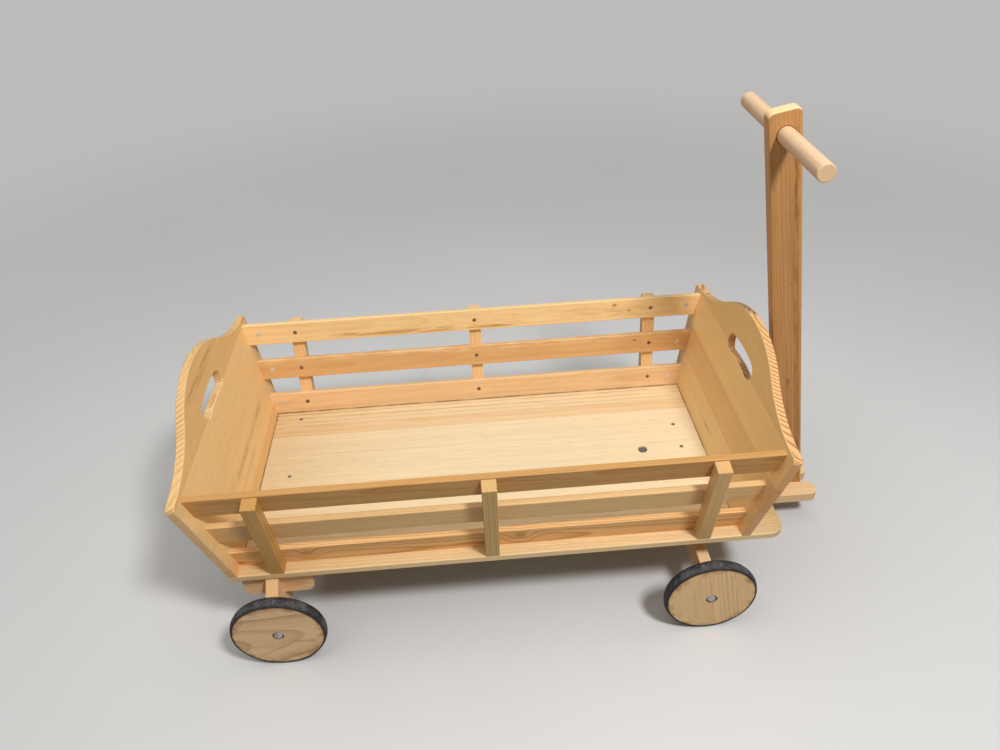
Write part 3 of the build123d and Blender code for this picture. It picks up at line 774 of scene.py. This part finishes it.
# a painted shadow ring round the axle cap, in the hub's recess
hubShadowRing = {"radius": 0.0094, "strength": 0.6}
wheelLooks = {
    "front": {
        "grain": (-0.2, 0, 1),
        "pale": (0.86, 0.575, 0.295),
        "ringDepth": 0.3,
        "lines": (
            (0.081, 0.7),
            (0.095, 0.5),
            (0.102, 0.8),
            (0.110, 0.7),
            (0.119, 0.6),
            (0.126, 0.7),
            (0.133, 0.4),
        ),
        "streaks": ((0.02, 0.12, 0.050, 0.006, 0.4), (0.03, 0.10, 0.020, 0.005, 0.4)),
        "scuffs": scuffAndRimShadeLook,
    },
    "rear": {
        "pale": (0.89, 0.605, 0.33),
        "ringGap": 0.014,
        "ringDepth": 1.0,
        "lateTint": (0.56, 0.43, 0.31),
        "slope": 0.25,
        "sway": 0.03,
        "blotchDepth": 0.30,
        "streaks": (
            (0.01, 0.09, 0.052, 0.003, 0.6),
            (0.09, 0.16, 0.060, 0.004, 0.6),
            (0.07, 0.13, 0.022, 0.004, 0.5),
            (0.10, 0.16, 0.085, 0.003, 0.5),
        ),
        "scuffs": {
            **scuffAndRimShadeLook,
            "specks": 0.35,
            "smudges": (
                (0.02, 0.10, 0.055, 0.010, 0.4),
                (0.09, 0.165, 0.060, 0.010, 0.4),
                (0.05, 0.13, 0.020, 0.010, 0.5),
            ),
        },
    },
}
tyreLook = {
    "rubber": (0.020, 0.020, 0.023),
    "dust": (0.21, 0.20, 0.20),
    "tread": (0.0030, 0.0004),  # metres below the crown where the dust starts and is full
    "treadDust": 0.8,
    "wallDust": 0.10,
    "filmScale": 38.0,
    "film": (0.40, 0.66),
    "filmShare": 0.45,
    "filmHeight": 0.5,
    "speckScale": 420.0,
    "speck": (0.52, 0.66),
    "speckShare": 0.55,
    "rough": 0.60,
    "dustRough": 0.25,
    "sheen": 0.2,
    "bump": 0.5,
    "bumpDepth": 0.0006,
}


def rubberFinish(piece):
    finish = Finish(bpy.data.materials.new("rubber_" + piece.name))
    low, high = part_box(piece.name)
    seat = {"Vector": finish.node("TexCoord", output="Object"), "Location": (low + high) / 2}
    local = finish.node("Mapping", {"vector_type": "TEXTURE"}, seat)
    x = finish.node("SeparateXYZ", None, {0: local})
    crown = (high - low).z / 2
    tread = x.hypot(x.also("Z")).rise(*[crown - depth for depth in tyreLook["tread"]])
    film = finish.noise(local, tyreLook["filmScale"], 4.0)
    speck = finish.noise(local, tyreLook["speckScale"], 2.0)
    dusty = film.rise(*tyreLook["film"]) * tyreLook["filmShare"]
    dusty = dusty + speck.rise(*tyreLook["speck"]) * tyreLook["speckShare"]
    share = dusty * (tread * tyreLook["treadDust"] + tyreLook["wallDust"])
    finish.set("Base Color", finish.mix(share, tyreLook["rubber"], tyreLook["dust"]))
    finish.set("Roughness", tyreLook["rough"] + dusty * tyreLook["dustRough"])
    finish.set("Specular IOR Level", tyreLook["sheen"])
    height = speck + film * tyreLook["filmHeight"]
    finish.relief(height, tyreLook["bump"], tyreLook["bumpDepth"])
    finish.wear(piece)


for endName, pairLook in wheelLooks.items():
    for sideName in ("left", "right"):
        wheelName = f"{endName}_{sideName}_wheel"
        shadowRing = (wheelName, hubShadowRing["radius"], hubShadowRing["strength"])
        pineFinish(nodes[wheelName], {**wheelLook, **pairLook, "bores": (shadowRing,)})
        rubberFinish(nodes[f"{endName}_{sideName}_tyre"])
print("handle and wheels done")

# metal
metalLooks = {
    "dark_screw": {
        "fresh": (0.40, 0.29, 0.19),
        "stained": (0.08, 0.05, 0.03),
        "rough": 0.40,
        "metal": 0.7,
    },
    "grey_screw": {
        "fresh": (0.42, 0.35, 0.26),
        "stained": (0.10, 0.07, 0.05),
        "rough": 0.38,
        "metal": 0.4,
    },
    "zinc_plate": {
        "fresh": (0.46, 0.45, 0.44),
        "stained": (0.28, 0.28, 0.27),
        "rough": 0.36,
        "metal": 0.9,
    },
    "bright_nut": {
        "fresh": (0.88, 0.78, 0.68),
        "stained": (0.64, 0.54, 0.45),
        "rough": 0.42,
        "metal": 0.3,
    },
    # dark partly as painted shade of the kingpin's recess in the floor
    "dark_bolt": {
        "fresh": (0.22, 0.22, 0.23),
        "stained": (0.05, 0.05, 0.05),
        "rough": 0.30,
        "metal": 0.6,
    },
}
metalGrain = {
    "filmScale": 160.0,
    "film": (0.42, 0.70),
    "filmRough": 0.22,
    "scratchScale": 900.0,
    "scratchRough": 0.1,
    "bump": 0.15,
    "bumpDepth": 0.0003,
}
zincEndings = ("caps", "washers", "washer", "bolt", "bolts", "nut", "insert", "axle")
metalEndings = {  # the first that fits the piece's name
    "rear_floor_screws": "grey_screw",
    "bolster_screws": "grey_screw",
    "screws": "dark_screw",
    "barrel_nuts": "bright_nut",
    "kingpin_bolt": "dark_bolt",
    **dict.fromkeys(zincEndings, "zinc_plate"),
}


def metalFinish(name, look):
    finish = Finish(bpy.data.materials.new(name))
    spot = finish.node("TexCoord", output="Object")
    film = finish.noise(spot, metalGrain["filmScale"], 4.0)
    scratch = finish.noise(spot, metalGrain["scratchScale"], 1.0)
    stain = film.rise(*metalGrain["film"])
    rough = look["rough"] + stain * metalGrain["filmRough"]
    finish.set("Base Color", finish.mix(stain, look["fresh"], look["stained"]))
    finish.set("Roughness", rough + (scratch - 0.5) * metalGrain["scratchRough"])
    finish.set("Metallic", look["metal"])
    finish.relief(scratch, metalGrain["bump"], metalGrain["bumpDepth"])
    return finish


metals = {name: metalFinish(name, look) for name, look in metalLooks.items()}
for pieceName, piece in nodes.items():
    kinds = [kind for ending, kind in metalEndings.items() if pieceName.endswith(ending)]
    if kinds:
        metals[kinds[0]].wear(piece)
print("metal done")

# stage, lights and camera
groundLook = {
    "size": 40,
    "pale": (0.74, 0.735, 0.725),
    "worn": (0.66, 0.655, 0.645),
    "bounce": (0.31, 0.30, 0.29),  # for the light it throws back at the wagon
    "fade": (0.9, 3.2),            # metres from the middle over which the backdrop takes over
    "mottleScale": 1.4,
    "rough": 0.75,
}
bpy.ops.object.select_all(action="DESELECT")
bpy.ops.mesh.primitive_plane_add(size=groundLook["size"])
ground = bpy.context.object
ground.name = "ground"
groundFinish = Finish(bpy.data.materials.new("pale_floor"))
groundSpot = groundFinish.node("TexCoord", output="Object")
groundX = groundFinish.node("SeparateXYZ", None, {0: groundSpot})
fade = groundX.hypot(groundX.also("Y")).fall(*groundLook["fade"])
mottle = groundFinish.noise(groundSpot, groundLook["mottleScale"], 5.0)
groundColour = groundFinish.mix(mottle, groundLook["worn"], groundLook["pale"])
groundColour = groundFinish.mix(groundFinish.seen(), groundLook["bounce"], groundColour)
groundFinish.set("Base Color", groundColour)
groundFinish.set("Alpha", fade)
groundFinish.set("Roughness", groundLook["rough"])
groundFinish.wear(ground)

lamps = {
    "overhead": {"place": (-1.0, -0.2, 3.6), "aim": (0.0, 0.0, 0.2), "size": 4.0, "watts": 64},
    "key": {"place": (1.0, -1.7, 3.2), "aim": (0.0, 0.0, 0.2), "size": 0.5, "watts": 81},
}
for lampName, lamp in lamps.items():
    bpy.ops.object.light_add(type="AREA", location=lamp["place"])
    light = bpy.context.object
    light.name = lampName
    light.data.energy = lamp["watts"]
    light.data.size = lamp["size"]
    heading = Vector(lamp["aim"]) - Vector(lamp["place"])
    light.rotation_euler = heading.to_track_quat("-Z", "Y").to_euler()

studioLook = {"light": (0.14, 0.139, 0.136), "backdrop": (0.50, 0.496, 0.488)}
studio = Finish(bpy.data.worlds.new("studio"), "Background")
studio.set("Color", studio.mix(studio.seen(), studioLook["light"], studioLook["backdrop"]))

cameraView = {
    "place": (-0.1029, -1.1162, 1.2565),
    "heading": 2.72,  # degrees towards +X
    "dip": 37.18,
    "tilt": -2.53,
    "lens": 27.42,
}
bpy.ops.object.camera_add()
camera = bpy.context.object
camera.data.lens = cameraView["lens"]
camera.matrix_world = (
    Matrix.Translation(cameraView["place"])
    @ Matrix.Rotation(-math.radians(cameraView["heading"]), 4, "Z")
    @ Matrix.Rotation(math.radians(90 - cameraView["dip"]), 4, "X")
    @ Matrix.Rotation(math.radians(cameraView["tilt"]), 4, "Z")
)
scene = bpy.context.scene
scene.world = studio.owner
scene.camera = camera
scene.view_settings.view_transform = "Standard"
print("stage, lights and camera done")
